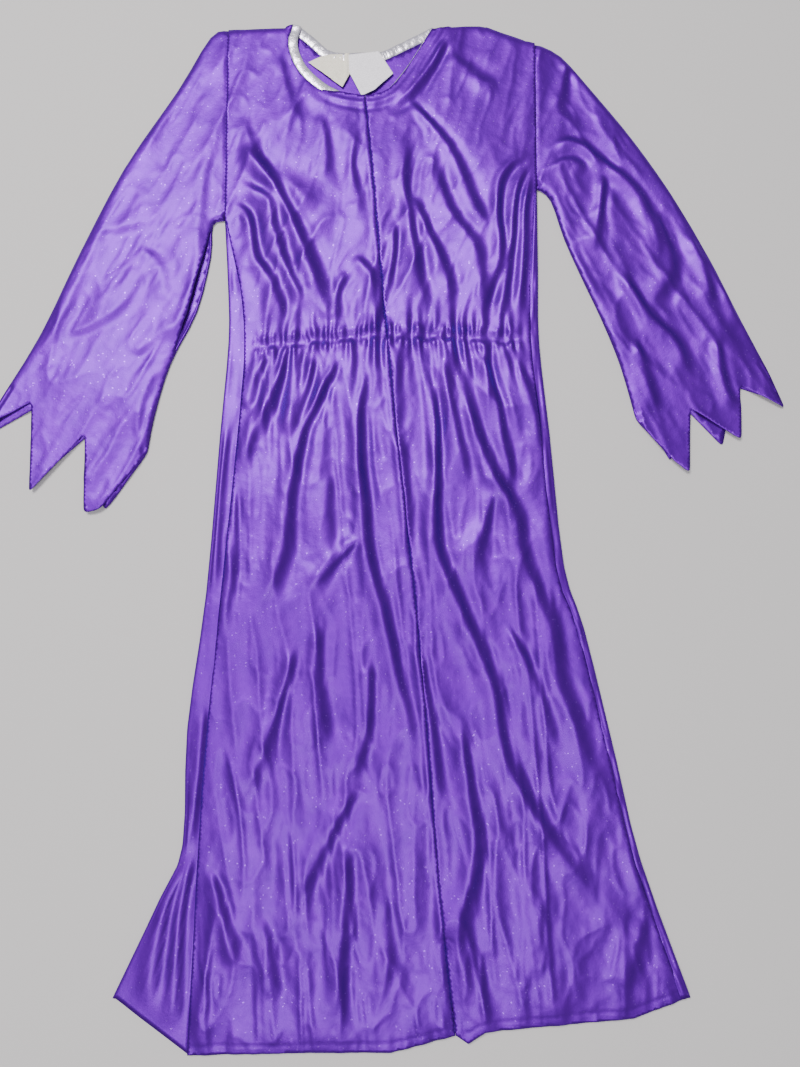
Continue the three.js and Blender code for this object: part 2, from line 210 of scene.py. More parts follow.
def nearest(x, drop, path):
    """Distance to a path, the share of the path at its nearest point, and the signed distance."""
    best = np.full(x.shape, 1e9)
    share, signed = np.zeros(x.shape), np.zeros(x.shape)
    lengths = np.linalg.norm(np.diff(path, axis=0), axis=1)
    run = np.concatenate([[0], np.cumsum(lengths)])
    for a, along, length, start in zip(path, np.diff(path, axis=0), lengths, run):
        if length < 1e-9:
            continue
        dx, dy = x - a[0], drop - a[1]
        t = np.clip((dx * along[0] + dy * along[1]) / length**2, 0, 1)
        ex, ey = dx - t * along[0], dy - t * along[1]
        distance = np.hypot(ex, ey)
        closer = distance < best
        best[closer] = distance[closer]
        share[closer] = ((start + t * length) / run[-1])[closer]
        signed[closer] = (np.sign(ex * along[1] - ey * along[0]) * distance)[closer]
    return best, share, signed


def inside(x, drop, loop):
    hit = np.zeros(x.shape, bool)
    for a, b in zip(loop, np.roll(loop, -1, axis=0)):
        crosses = (a[1] > drop) != (b[1] > drop)
        rise = b[1] - a[1] if b[1] != a[1] else 1e-12
        hit ^= crosses & (x < (b[0] - a[0]) * (drop - a[1]) / rise + a[0])
    return hit


def closed(path):
    return np.vstack([path, path[:1]])


def triangulated(loop, step, seed):
    """Points and triangles that fill an outline."""
    border = resampled(loop, step, closed=True)
    low, high = loop.min(0), loop.max(0)
    rows = np.arange(low[1], high[1], step * 0.87)
    columns = np.arange(low[0], high[0], step)
    x, drop = np.meshgrid(columns, rows)
    x = x + (np.arange(len(rows)) % 2)[:, None] * step / 2
    rng = np.random.default_rng(seed)
    x = (x + rng.normal(0, step * 0.06, x.shape)).ravel()
    drop = (drop + rng.normal(0, step * 0.06, drop.shape)).ravel()
    keep = inside(x, drop, loop)
    x, drop = x[keep], drop[keep]
    keep = nearest(x, drop, closed(border))[0] > step * 0.55
    points = np.vstack([border, np.column_stack([x[keep], drop[keep]])])
    count = len(border)
    found = delaunay_2d_cdt([Vector(p) for p in points], [], [list(range(count))], 1, 1e-7)
    return np.array(found[0]), [list(face) for face in found[2]]


def cells(u, v, seed):
    """The random heights at the corners of each point's cell, and the point's place in it."""
    table = np.random.default_rng(seed).uniform(-1, 1, (TABLE_SIZE, TABLE_SIZE))
    i, j = np.floor(u).astype(int), np.floor(v).astype(int)
    fu, fv = u - i, v - j
    i, j = i % TABLE_SIZE, j % TABLE_SIZE
    i1, j1 = (i + 1) % TABLE_SIZE, (j + 1) % TABLE_SIZE
    return table[i, j], table[i1, j], table[i, j1], table[i1, j1], fu, fv


def noise(x, y, size, seed):
    """Smooth noise from -1 to 1 that changes over about size."""
    near, right, above, far, fu, fv = cells(x / size + NOISE_START[0], y / size + NOISE_START[1], seed)
    fu, fv = smoothstep(fu), smoothstep(fv)
    low = near * (1 - fu) + right * fu
    high = above * (1 - fu) + far * fu
    return low * (1 - fv) + high * fv


def crease(x, y, size, seed):
    """Crumple with sharp ridges, from 0 to 1."""
    warp = size * 0.45
    wx = x + warp * noise(x, y, size * 1.3, seed + 1)
    wy = y + warp * noise(x, y, size * 1.3, seed + 2)
    return (1 - np.abs(noise(wx, wy, size, seed))) ** 2


def facets(x, y, size, seed):
    """Flat facets that meet at creases, from -1 to 1."""
    u, v = x / size + NOISE_START[0], y / size + NOISE_START[1]
    near, right, above, far, fu, fv = cells(u + v / 2, v, seed)
    middle = np.where(fu > fv, right, above)
    large, small = np.maximum(fu, fv), np.minimum(fu, fv)
    return near * (1 - large) + middle * (large - small) + far * small


# ---------- Folds ----------
# Each fold is (path, height, width). Its valley lies on its right, away from the window light.

BACK_STRIP_FOLDS = [
    ([(-196, 846), (-212, 900), (-226, 990)], 4.2, 7.0),
    ([(-186, 840), (-196, 900), (-200, 1010)], 3.8, 6.0),
    ([(-176, 700), (-182, 780), (-192, 850)], 2.0, 5.0),
    ([(-158, 420), (-166, 500), (-170, 600)], 1.6, 5.0),
]
BODICE_FOLDS = [
    ([(-154, 128), (-124, 162), (-102, 200), (-80, 254), (-62, 314)], 4.2, 7.0),
    ([(-156, 170), (-140, 178), (-122, 190), (-116, 218), (-102, 262), (-80, 310)], 3.6, 6.5),
    ([(-160, 192), (-142, 206), (-134, 250), (-118, 276), (-100, 330)], 3.4, 6.5),
    ([(-150, 96), (-132, 148), (-92, 180), (-66, 204)], 2.2, 9.0),
    ([(-112, 30), (-104, 70), (-92, 110)], 1.4, 7.0),
    ([(-70, 96), (-62, 130), (-64, 170)], 1.4, 6.0),
    ([(-30, 110), (-36, 150), (-30, 190), (-34, 215)], 1.8, 6.0),
    ([(20, 78), (38, 98), (68, 140), (92, 200), (112, 230)], 2.8, 6.5),
    ([(24, 180), (38, 214), (58, 260), (66, 302)], 2.8, 6.0),
    ([(22, 120), (18, 162), (22, 200), (30, 254), (38, 312)], 3.2, 6.5),
    ([(48, 148), (64, 200), (88, 236), (94, 276), (86, 316)], 3.0, 8.0),
    ([(148, 134), (120, 162), (114, 200), (116, 246), (102, 290), (90, 320)], 3.4, 5.5),
    ([(148, 148), (134, 180), (128, 232), (122, 276), (114, 320)], 3.2, 5.0),
    ([(150, 160), (142, 200), (140, 254), (134, 316)], 2.8, 4.5),
    ([(-34, 246), (-14, 276), (-18, 326)], 2.6, 6.5),
    ([(8, 208), (6, 254), (-12, 326)], 2.4, 5.0),
    ([(-40, 264), (-50, 286), (-54, 318)], 2.2, 5.0),
    ([(66, 30), (96, 60), (118, 66)], 2.0, 8.0),
    ([(64, 14), (46, 44), (26, 70), (2, 88)], 3.8, 5.0),
]
SKIRT_FOLDS = [
    ([(-44, 346), (-72, 404), (-84, 432), (-96, 492), (-104, 556), (-130, 616)], 4.4, 7.0),
    ([(-120, 350), (-134, 380), (-142, 410)], 2.6, 6.0),
    ([(-100, 350), (-116, 396), (-134, 432), (-146, 474)], 3.0, 6.5),
    ([(-72, 352), (-82, 390), (-98, 438)], 3.0, 6.0),
    ([(-14, 350), (-26, 396), (-28, 456), (-22, 502), (-18, 556), (-2, 618), (14, 688),
      (34, 758)], 4.0, 6.5),
    ([(36, 350), (48, 406), (50, 456), (48, 518), (52, 556), (78, 620), (104, 686), (114, 746),
      (136, 794), (178, 856), (222, 914)], 4.6, 8.0),
    ([(54, 350), (70, 432), (82, 490)], 3.0, 6.0),
    ([(72, 344), (84, 414), (106, 474), (128, 516), (134, 556), (158, 620), (168, 680),
      (194, 752), (212, 808)], 4.4, 7.5),
    ([(94, 344), (110, 396), (118, 444), (128, 496)], 3.6, 6.0),
    ([(132, 356), (150, 414), (156, 452)], 2.8, 6.5),
    ([(106, 486), (98, 526), (82, 572)], 2.6, 8.0),
    ([(-26, 536), (-50, 560), (-76, 588)], 2.6, 6.5),
    ([(70, 700), (80, 784), (86, 848), (68, 912), (80, 974), (94, 1006)], 4.6, 9.0),
    ([(-28, 776), (-54, 824), (-88, 888)], 3.0, 8.0),
    ([(-38, 828), (-40, 900), (-50, 1010)], 3.4, 8.0),
    ([(-68, 620), (-68, 686), (-56, 748)], 2.8, 7.0),
    ([(-16, 654), (-18, 720), (-34, 774)], 2.8, 7.0),
    ([(-88, 640), (-114, 730), (-144, 800)], 3.4, 8.0),
    ([(118, 620), (144, 678), (168, 752)], 2.6, 7.0),
    ([(246, 900), (226, 970)], 2.8, 9.0),
    ([(-168, 856), (-152, 912), (-142, 946)], 2.8, 7.5),
    ([(-118, 900), (-108, 950), (-102, 980)], 2.0, 7.0),
    ([(30, 640), (44, 720), (52, 800)], 2.4, 6.0),
    ([(-150, 480), (-152, 560), (-162, 640)], 2.2, 6.0),
    ([(-56, 470), (-60, 520), (-54, 570)], 2.0, 8.0),
    ([(12, 430), (20, 500), (16, 560)], 2.2, 6.0),
    ([(0, 880), (2, 930), (-2, 970)], 1.6, 6.0),
    ([(150, 880), (146, 930), (150, 960)], 1.6, 6.0),
]
LEFT_SLEEVE_FOLDS = [
    ([(158, 140), (190, 128), (222, 148), (258, 182), (276, 232), (274, 268)], 3.6, 6.5),
    ([(160, 158), (190, 148), (206, 160)], 2.6, 5.0),
    ([(223, 160), (220, 196), (210, 246)], 3.2, 6.0),
    ([(189, 34), (182, 70), (172, 94)], 2.6, 6.0),
    ([(276, 196), (290, 246), (286, 272), (264, 300)], 3.2, 6.5),
    ([(236, 262), (268, 312), (294, 340), (306, 376)], 3.2, 5.5),
    ([(310, 222), (324, 262), (330, 300)], 2.8, 5.5),
    ([(326, 240), (346, 282), (360, 326)], 2.6, 5.5),
    ([(334, 334), (340, 380), (352, 410)], 2.8, 5.5),
    ([(252, 332), (262, 372), (272, 412)], 2.4, 5.5),
]
RIGHT_SLEEVE_FOLDS = [
    ([(-168, 120), (-186, 160), (-192, 210), (-198, 250)], 2.6, 7.0),
    ([(-300, 222), (-262, 214), (-226, 200)], 1.8, 8.0),
    ([(-252, 238), (-232, 262), (-226, 300)], 2.2, 8.0),
    ([(-330, 330), (-296, 318), (-262, 290), (-250, 250)], 2.0, 7.0),
    ([(-256, 352), (-232, 330), (-214, 318)], 2.2, 7.0),
    ([(-226, 90), (-258, 150)], 1.6, 9.0),
    ([(-250, 440), (-246, 400), (-232, 360)], 1.8, 6.0),
]


def folds(x, drop, chosen):
    """The summed height of a list of folds."""
    total = np.zeros(x.shape)
    for points, height, width in chosen:
        share, signed = nearest(x, drop, smooth_path(points))[1:]
        taper = smoothstep(share / 0.18) * smoothstep((1 - share) / 0.22)
        own_seed = int(width * 10 + points[0][0]) % 97
        swell = 0.62 + 0.6 * share + 0.28 * noise(share * 3.1, share * 0, 1.0, own_seed)
        lee = (signed if points[-1][1] > points[0][1] else -signed) / (width * swell)
        ridge = np.exp(-(lee / np.where(lee < 0, 1.6, 0.75)) ** 2)
        valley = np.exp(-((lee - 1.75) / 0.95) ** 2)
        total += height * taper * (ridge - VALLEY_DEPTH * valley)
    return total


def elastic_line(x):
    path = path_of("waist_elastic")[0]
    return np.interp(x, path[:, 0], path[:, 1])


def gathers(x, drop):
    """Small folds that fan out above and below the elastic, and the ruffle over the elastic."""
    rng = np.random.default_rng(7)
    low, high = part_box("waist_elastic")
    left, right = low.x / MM, high.x / MM
    middle, half = (left + right) / 2, (right - left) / 2
    away = drop - elastic_line(x)
    within = smoothstep((x - left + 8) / 20) * smoothstep((right + 8 - x) / 20)
    total = np.zeros(x.shape)
    starts = np.linspace(left + 3, right - 3, GATHER_COUNT) + rng.normal(0, 1.8, GATHER_COUNT)
    for start in starts:
        out = (start - middle) / half
        for direction, reach, fan in ((1, rng.uniform(20, 90), 0.2), (-1, rng.uniform(16, 50), -0.06)):
            height, thin = rng.uniform(1.4, 4.2), rng.uniform(2.5, 3.6)
            bend = rng.normal(0, 0.05)
            far = np.clip(direction * away, 0, None)
            centre = start + (fan * out + bend) * far + 1.2 * np.sin(far / 17 + start)
            lee = (x - centre) / (thin + 0.06 * far)
            profile = np.exp(-(lee / np.where(lee < 0, 1.25, 0.8)) ** 2)
            profile -= 0.4 * np.exp(-((lee - 1.6) / 0.9) ** 2)
            total += height * profile * np.exp(-far / reach) * (direction * away > 0)
    away = away + 1.8 * noise(x, away * 0.05, 7.0, 13)
    band = 1 - smoothstep((np.abs(away) - 1.0) / 6.5)
    ruffle = 0.8 * noise(x, away * 0.15, 3.2, 11)
    fringe = 1.9 * noise(x, away * 0.15, 3.6, 12) * np.exp(-((np.abs(away) - 6.5) / 5) ** 2)
    return within * (total * (1 - 0.8 * band) + fringe + band * (ruffle - 0.8))


def crumple(x, drop, along, streaks, seed, flats):
    """Crumple stretched along a direction given as an angle from straight down.

    streaks is the height of its long ridges, and flats is the height of its flat facets.
    """
    c, s = math.cos(along), math.sin(along)
    across, down = x * c + drop * s, drop * c - x * s
    large = crease(across, down * 0.36, 32, seed) - 0.4
    small = crease(across, down * 0.4, 12, seed + 5) - 0.4
    tiny = noise(across, down * 0.8, 5.0, seed + 9)
    long = crease(across, down * 0.15, 17, seed + 13) - 0.4
    bend = 7 * noise(across, down * 0.5, 30, seed + 17)
    flat = facets(across + bend, (down + bend) * 0.5, 21, seed + 18)
    return 2.6 * large + 0.9 * small + 0.15 * tiny + streaks * long + flats * flat


# ---------- Heights ----------

def rolled(height, distance, low=EDGE_HEIGHT, roll=EDGE_ROLL):
    """The height of a layer that rolls down to a low edge."""
    t = np.clip(distance / roll, 0, 1)
    return low + (height - low) * np.sqrt(1 - (1 - t) ** 2)


def body_front(x, drop):
    """The height of the front between the side seams, before it rolls down to its edges."""
    above = smoothstep((ELASTIC_DROP - drop) / 40)
    low_down = smoothstep((drop - 700) / 250)
    height = BODY_HEIGHT + folds(x, drop, BODICE_FOLDS) + folds(x, drop, SKIRT_FOLDS)
    height += gathers(x, drop)
    loose = crumple(x, drop, -0.06, 1.8, 20, 0.7) * (1 - above)
    loose += crumple(x, drop, 0.3, 0.8, 60, 0.7) * above
    height += loose * (0.75 + 0.35 * low_down)
    signed = nearest(x, drop, CENTRE_FRONT)[2]
    height += 0.8 * np.exp(-((signed + STITCH_FROM_SEAM) / 2.6) ** 2) - 0.45 * np.exp(-(signed / 1.5) ** 2)
    return np.clip(height, LOWEST, HIGHEST)


def sleeve_front(x, drop, side):
    """The height of a sleeve's front, which runs on from the body's front at the armhole."""
    chosen = LEFT_SLEEVE_FOLDS if side == "left" else RIGHT_SLEEVE_FOLDS
    own = SLEEVE_HEIGHT + SLEEVE_FOLD_SHARE[side] * folds(x, drop, chosen)
    own += SLEEVE_CRUMPLE[side] * crumple(x, drop, SLEEVE_LEAN[side], 1.2, 90 + len(side),
                                          SLEEVE_FACETS[side])
    reach = np.abs(x - ARMHOLES[side])
    joined = smoothstep(reach / 34)
    height = own * joined + body_front(x, drop) * (1 - joined)
    return np.clip(height, SLEEVE_LOWEST, SLEEVE_HIGHEST)


# ---------- Making pieces ----------

def add_mesh(name, points, faces):
    """points are (x, drop, height) in millimetres."""
    mesh = bpy.data.meshes.new(name)
    place = np.column_stack([points[:, 0] * MM, TOP - points[:, 1] * MM, points[:, 2] * MM])
    mesh.from_pydata([tuple(p) for p in place], [], faces)
    mesh.validate()
    mesh.polygons.foreach_set("use_smooth", [True] * len(mesh.polygons))
    piece = bpy.data.objects.new(name, mesh)
    bpy.context.scene.collection.objects.link(piece)
    return piece


def thicken(piece, thickness, offset=-1.0):
    """Gives a sheet its thickness, as part of its mesh."""
    solid = piece.modifiers.new("thickness", "SOLIDIFY")
    solid.thickness = thickness * MM
    solid.offset = offset
    solid.use_even_offset = True
    graph = bpy.context.evaluated_depsgraph_get()
    mesh = bpy.data.meshes.new_from_object(piece.evaluated_get(graph))
    piece.modifiers.clear()
    piece.data = mesh
    mesh.polygons.foreach_set("use_smooth", [True] * len(mesh.polygons))


def face_up(faces, points):
    """Turns triangles so that they face up, out of the front of the dress."""
    out = []
    for f in faces:
        a, b, c = (points[i] for i in f[:3])
        turn = (b[0] - a[0]) * (c[1] - a[1]) - (b[1] - a[1]) * (c[0] - a[0])
        out.append(f if turn < 0 else f[::-1])
    return out


def dressed(piece, material, nodes, body):
    """Gives a piece its material, hides its CAD nodes, and attaches it to the body it rides on, if it has
    one.
    """
    piece.data.materials.clear()
    piece.data.materials.append(material)
    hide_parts(*nodes)
    if body:
        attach(piece, body)


def sheet_points(loop, step, seed, height):
    flat, faces = triangulated(loop, step, seed)
    z = height(flat[:, 0], flat[:, 1])
    return np.column_stack([flat, z]), face_up(faces, flat)


def grid_faces(rows, count, ring=False):
    """Faces between rows of count points each. A ring closes each row on itself."""
    faces = []
    for k in range(rows - 1):
        for i in range(count if ring else count - 1):
            j = (i + 1) % count
            faces.append([k * count + i, k * count + j, (k + 1) * count + j, (k + 1) * count + i])
    return faces


def ribbon(path, width, height, step=4.0, across=3):
    """A flat strip along a path, as points and faces."""
    line = resampled(path, step)
    along = np.gradient(line, axis=0)
    along /= np.linalg.norm(along, axis=1)[:, None]
    side = np.column_stack([-along[:, 1], along[:, 0]])
    rows = [line + side * width * (k / (across - 1) - 0.5) for k in range(across)]
    flat = np.vstack(rows)
    points = np.column_stack([flat, height(flat[:, 0], flat[:, 1])])
    return points, face_up(grid_faces(across, len(line)), points)


def tube(line, radius_across, radius_up, sides=10):
    """A flattened tube round a line of (x, drop, height) points."""
    along = np.gradient(line[:, :2], axis=0)
    along /= np.linalg.norm(along, axis=1)[:, None]
    out = np.column_stack([-along[:, 1], along[:, 0]])
    points, faces = [], []
    for k in range(sides):
        angle = 2 * math.pi * k / sides
        ring = line.copy()
        ring[:, :2] += out * radius_across * math.cos(angle)
        ring[:, 2] += radius_up * math.sin(angle)
        points.append(ring)
    points = np.vstack(points)
    n = len(line)
    for k in range(sides):
        a, b = k * n, ((k + 1) % sides) * n
        for i in range(n - 1):
            faces.append([a + i, a + i + 1, b + i + 1, b + i])
    faces.append([k * n for k in range(sides)])
    faces.append([k * n + n - 1 for k in range(sides)][::-1])
    return points, faces


def joined(*parts):
    """Several (points, faces) as one."""
    points, faces, base = [], [], 0
    for p, f in parts:
        points.append(p)
        faces += [[i + base for i in face] for face in f]
        base += len(p)
    return np.vstack(points), faces


# ---------- Materials ----------

def new_material(name):
    material = bpy.data.materials.new(name)
    material.use_nodes = True
    nodes, links = material.node_tree.nodes, material.node_tree.links
    return material, nodes, links, nodes["Principled BSDF"]


def add_node(nodes, kind, **values):
    node = nodes.new(kind)
    for key, value in values.items():
        if hasattr(node, key):
            setattr(node, key, value)
        else:
            node.inputs[key.replace("_", " ")].default_value = value
    return node


def satin(name, dark, light, sparkle=0.5):
    """Glossy satin: two tones of violet, fine wrinkles, a weave and specks of glitter."""
    material, nodes, links, shader = new_material(name)
    place = add_node(nodes, "ShaderNodeTexCoord").outputs["Object"]
    tone = add_node(nodes, "ShaderNodeTexNoise", Scale=38.0, Detail=4.0, Roughness=0.6)
    links.new(place, tone.inputs["Vector"])
    ramp = add_node(nodes, "ShaderNodeValToRGB")
    ramp.color_ramp.elements[0].position = 0.32
    ramp.color_ramp.elements[0].color = (*dark, 1)
    ramp.color_ramp.elements[1].position = 0.68
    ramp.color_ramp.elements[1].color = (*light, 1)
    links.new(tone.outputs["Fac"], ramp.inputs["Fac"])

    specks = add_node(nodes, "ShaderNodeTexVoronoi", Scale=800.0)
    links.new(place, specks.inputs["Vector"])
    split = add_node(nodes, "ShaderNodeSeparateColor")
    links.new(specks.outputs["Color"], split.inputs["Color"])
    chosen = add_node(nodes, "ShaderNodeMapRange")
    chosen.inputs["From Min"].default_value = 0.986
    chosen.inputs["From Max"].default_value = 0.996
    links.new(split.outputs["Red"], chosen.inputs["Value"])
    colour = add_node(nodes, "ShaderNodeMix", data_type="RGBA")
    links.new(chosen.outputs["Result"], colour.inputs["Factor"])
    links.new(ramp.outputs["Color"], colour.inputs[6])
    colour.inputs[7].default_value = (0.22, 0.04, 0.55, 1)
    links.new(colour.outputs[2], shader.inputs["Base Color"])

    gloss = add_node(nodes, "ShaderNodeMapRange")
    gloss.inputs["To Min"].default_value = SATIN_ROUGHNESS
    gloss.inputs["To Max"].default_value = SATIN_ROUGHNESS - 0.16 * sparkle
    links.new(chosen.outputs["Result"], gloss.inputs["Value"])
    links.new(gloss.outputs["Result"], shader.inputs["Roughness"])
    shader.inputs["Metallic"].default_value = 0.9
    shader.inputs["Coat Weight"].default_value = 0.14
    shader.inputs["Coat Roughness"].default_value = 0.3
    shader.inputs["Coat Tint"].default_value = (0.8, 0.65, 1.0, 1)
    shader.inputs["Specular Tint"].default_value = (0.6, 0.3, 1.0, 1)

    wrinkle = add_node(nodes, "ShaderNodeTexNoise", Scale=150.0, Detail=5.0, Roughness=0.62)
    links.new(place, wrinkle.inputs["Vector"])
    weave = add_node(nodes, "ShaderNodeTexNoise", Scale=1400.0, Detail=1.0)
    links.new(place, weave.inputs["Vector"])
    first = add_node(nodes, "ShaderNodeBump", Strength=0.3, Distance=0.0009)
    links.new(wrinkle.outputs["Fac"], first.inputs["Height"])
    second = add_node(nodes, "ShaderNodeBump", Strength=0.2, Distance=0.0001)
    links.new(weave.outputs["Fac"], second.inputs["Height"])
    links.new(first.outputs["Normal"], second.inputs["Normal"])
    links.new(second.outputs["Normal"], shader.inputs["Normal"])
    return material


def ribbon_cloth(name, colour, roughness, metallic, scale, strength):
    """A small plain fabric with its own weave: binding, labels, elastic and tapes."""
    material, nodes, links, shader = new_material(name)
    place = add_node(nodes, "ShaderNodeTexCoord").outputs["Object"]
    grain = add_node(nodes, "ShaderNodeTexNoise", Scale=scale, Detail=4.0, Roughness=0.6)
    links.new(place, grain.inputs["Vector"])
    ramp = add_node(nodes, "ShaderNodeValToRGB")
    ramp.color_ramp.elements[0].position = 0.3
    ramp.color_ramp.elements[0].color = (*[c * 0.72 for c in colour], 1)
    ramp.color_ramp.elements[1].position = 0.65
    ramp.color_ramp.elements[1].color = (*colour, 1)
    links.new(grain.outputs["Fac"], ramp.inputs["Fac"])
    links.new(ramp.outputs["Color"], shader.inputs["Base Color"])
    shader.inputs["Roughness"].default_value = roughness
    shader.inputs["Metallic"].default_value = metallic
    bump = add_node(nodes, "ShaderNodeBump", Strength=strength, Distance=0.0004)
    links.new(grain.outputs["Fac"], bump.inputs["Height"])
    links.new(bump.outputs["Normal"], shader.inputs["Normal"])
    return material


VIOLET = satin("violet_satin", (0.105, 0.0, 0.33), (0.135, 0.0, 0.40))
SEAM = satin("satin_wrong_side", (0.065, 0.0, 0.22), (0.085, 0.0, 0.28), 0.1)
SILVER = ribbon_cloth("silver_lame", (0.80, 0.77, 0.86), 0.3, 0.75, 420.0, 0.7)
CREAM = ribbon_cloth("cream_label_cloth", (0.88, 0.83, 0.70), 0.7, 0.0, 900.0, 0.3)
WHITE = ribbon_cloth("white_label_cloth", (0.93, 0.90, 0.95), 0.6, 0.0, 900.0, 0.2)
ELASTIC = ribbon_cloth("elastic_rib", (0.12, 0.04, 0.42), 0.8, 0.0, 500.0, 0.6)
TAPE = ribbon_cloth("hook_and_loop", (0.80, 0.79, 0.84), 0.95, 0.0, 1200.0, 1.0)


# ---------- Body ----------

def side_edge(loop, side, from_drop):
    """The outer edge of a panel, from a drop down to the corner of its hem."""
    sign = OUTWARD[side]
    lowest = loop[np.argmax(sign * loop[:, 0])]
    drops = np.arange(from_drop, lowest[1], 6.0)
    edge = []
    for drop in drops:
        crossings = []
        for a, b in zip(loop, np.roll(loop, -1, axis=0)):
            if (a[1] > drop) != (b[1] > drop):
                crossings.append(a[0] + (b[0] - a[0]) * (drop - a[1]) / (b[1] - a[1]))
        edge.append((sign * max(sign * c for c in crossings), drop))
    return np.array(edge + [tuple(lowest)])


def hem_of(loop, side):
    """The lower edge of a panel, from its outer corner to the centre seam."""
    sign = OUTWARD[side]
    turned = np.roll(loop, -int(np.argmax(sign * loop[:, 0])), axis=0)
    low = turned[:, 1] > turned[:, 1].max() - HEM_SLOPE
    inner = int(np.argmin(np.where(low, sign * turned[:, 0], 1e9)))
    ways = [turned[: inner + 1], np.vstack([turned[:1], turned[inner:][::-1]])]
    return max(ways, key=lambda way: way[:, 1].min())


FRONT_HEM = np.vstack([hem_of(FRONT_LOOPS["right"], "right"),
                       hem_of(FRONT_LOOPS["left"], "left")[::-1]])


def shoulder_gap(x, drop):
    """Distance to the tops of the shoulders, from the neck to the armholes."""
    gap = np.full(x.shape, 1e9)
    for side, armhole in ARMHOLES.items():
        seam = path_of(f"{side}_shoulder_seam")[0]
        lift = np.column_stack([seam[:, 0], seam[:, 1] - 5])
        ends = np.array([[armhole, lift[-1 if side == "left" else 0, 1] + 2]])
        line = np.vstack([lift, ends]) if side == "left" else np.vstack([ends, lift])
        gap = np.minimum(gap, nearest(x, drop, line)[0])
    return gap


def front_surface(x, drop):
    """The height of the front, rolled down to the shoulders, the sides, the hem and the neck."""
    z = rolled(body_front(x, drop), shoulder_gap(x, drop))
    for side, loop in FRONT_LOOPS.items():
        edge = side_edge(loop, side, UNDERARM[side])
        z = rolled(z, nearest(x, drop, edge)[0] + 2.0, 3.4, 14.0)
    hem = nearest(x, drop, FRONT_HEM)[0]
    pucker = 0.8 * noise(x, drop * 0.3, 9, 41) * np.exp(-(hem / 14) ** 2)
    z = rolled(z, hem + 2.5, 2.2, 30.0) + 0.5 * np.exp(-(hem / 2.5) ** 2)
    z += pucker - 0.5 * np.exp(-((hem - HEM_WIDTH) / 1.2) ** 2)
    neck = nearest(x, drop, NECK)[0] - 3.5
    lip = 0.9 * np.exp(-((neck - 1.5) / 2.5) ** 2) - 0.8 * np.exp(-((neck - 8) / 3.0) ** 2)
    edge = 4.3 + 1.3 * covered(x)
    return rolled(z, np.clip(neck, 0, None) + 1.5, edge, 7.0) + lip * covered(x)


def covered(x):
    """0 where the front binding shows, and 1 where the satin has rolled over it."""
    return smoothstep((x + 76) / 32)


def rolled_neck(loop):
    """The outline of a front panel, moved over the binding where the satin covers it."""
    moved = resampled(loop, 4.0, closed=True)
    centre = np.array([NECK[:, 0].mean(), NECK[:, 1].min()])
    near = nearest(moved[:, 0], moved[:, 1], NECK)[0] < 6
    inward = centre - moved
    inward /= np.linalg.norm(inward, axis=1)[:, None]
    moved += inward * (near * covered(moved[:, 0]) * 7.0)[:, None]
    return moved


def make_front(side):
    """A front panel. It overlaps the other one a little at the centre seam."""
    loop = rolled_neck(FRONT_LOOPS[side])
    at_seam = nearest(loop[:, 0], loop[:, 1], CENTRE_FRONT)[0] < 0.5
    loop[:, 0] += at_seam * SEAM_LAP * (-1 if side == "left" else 1)
    points, faces = sheet_points(loop, FINE, 1, front_surface)
    piece = add_mesh(f"{side}_front_satin", points, faces)
    thicken(piece, CLOTH)
    dressed(piece, VIOLET, [f"{side}_front_panel"], "dress")


def turned_side(side):
    """The side of a back panel, which turns up from the table and lies over to meet the front."""
    sign = OUTWARD[side]
    outer = even(side_edge(BACK_LOOPS[side], side, UNDERARM[side] + 4), STRIP_POINTS)
    inner = even(side_edge(FRONT_LOOPS[side], side, UNDERARM[side] + 4), STRIP_POINTS)
    roll = np.minimum(3.4, 0.32 * np.abs(outer[:, 0] - inner[:, 0]) + 0.8)
    target = body_front(inner[:, 0], inner[:, 1])
    target = np.clip(rolled(target, 2.0, 3.4, 14.0), 3.0, 8.0) - 0.5
    rows = []
    for k in range(TURN_ROWS):
        angle = math.pi * (k / (TURN_ROWS - 1) - 0.5)
        x = outer[:, 0] - sign * roll * (1 - math.cos(angle))
        z = BACK_LIFT + 1.0 + 1.5 + 1.5 * math.sin(angle)
        rows.append(np.column_stack([x, outer[:, 1], np.full(STRIP_POINTS, z)]))
    for k in range(1, STRIP_ROWS + 1):
        t = k / STRIP_ROWS
        start = outer[:, 0] - sign * roll
        end = inner[:, 0] - sign * 2.0
        x = start + (end - start) * t
        drop = outer[:, 1] + (inner[:, 1] - outer[:, 1]) * t
        puff = 1.4 * np.sin(math.pi * t) * noise(x, drop, 22, 8) + 0.9 * crease(x, drop * 0.5, 15, 9) * t
        base = BACK_LIFT + 4.0 + (target - BACK_LIFT - 4.0) * smoothstep((t - 0.45) / 0.55)
        z = base + puff * (1 - t * 0.7) + folds(x, drop, BACK_STRIP_FOLDS)
        rows.append(np.column_stack([x, drop, np.maximum(z, BACK_LIFT + 2.0)]))
    faces = grid_faces(len(rows), STRIP_POINTS)
    if side == "right":
        faces = [f[::-1] for f in faces]
    return np.vstack(rows), faces


def make_back(side):
    """The back lies on the table, and its side turns up and over to meet the front."""

    def height(x, drop):
        rim = 1.5 * np.exp(-(shoulder_gap(x, drop) / 5) ** 2)
        return BACK_LIFT + 0.25 + rim + 0.5 * crease(x, drop * 0.4, 30, 5)

    flat = sheet_points(BACK_LOOPS[side], COARSE, 2, height)
    points, faces = joined(flat, turned_side(side))
    piece = add_mesh(f"{side}_back_satin", points, faces)
    thicken(piece, CLOTH, 0.0)
    dressed(piece, VIOLET, [f"{side}_back_panel"], "dress")


# ---------- Sleeves ----------

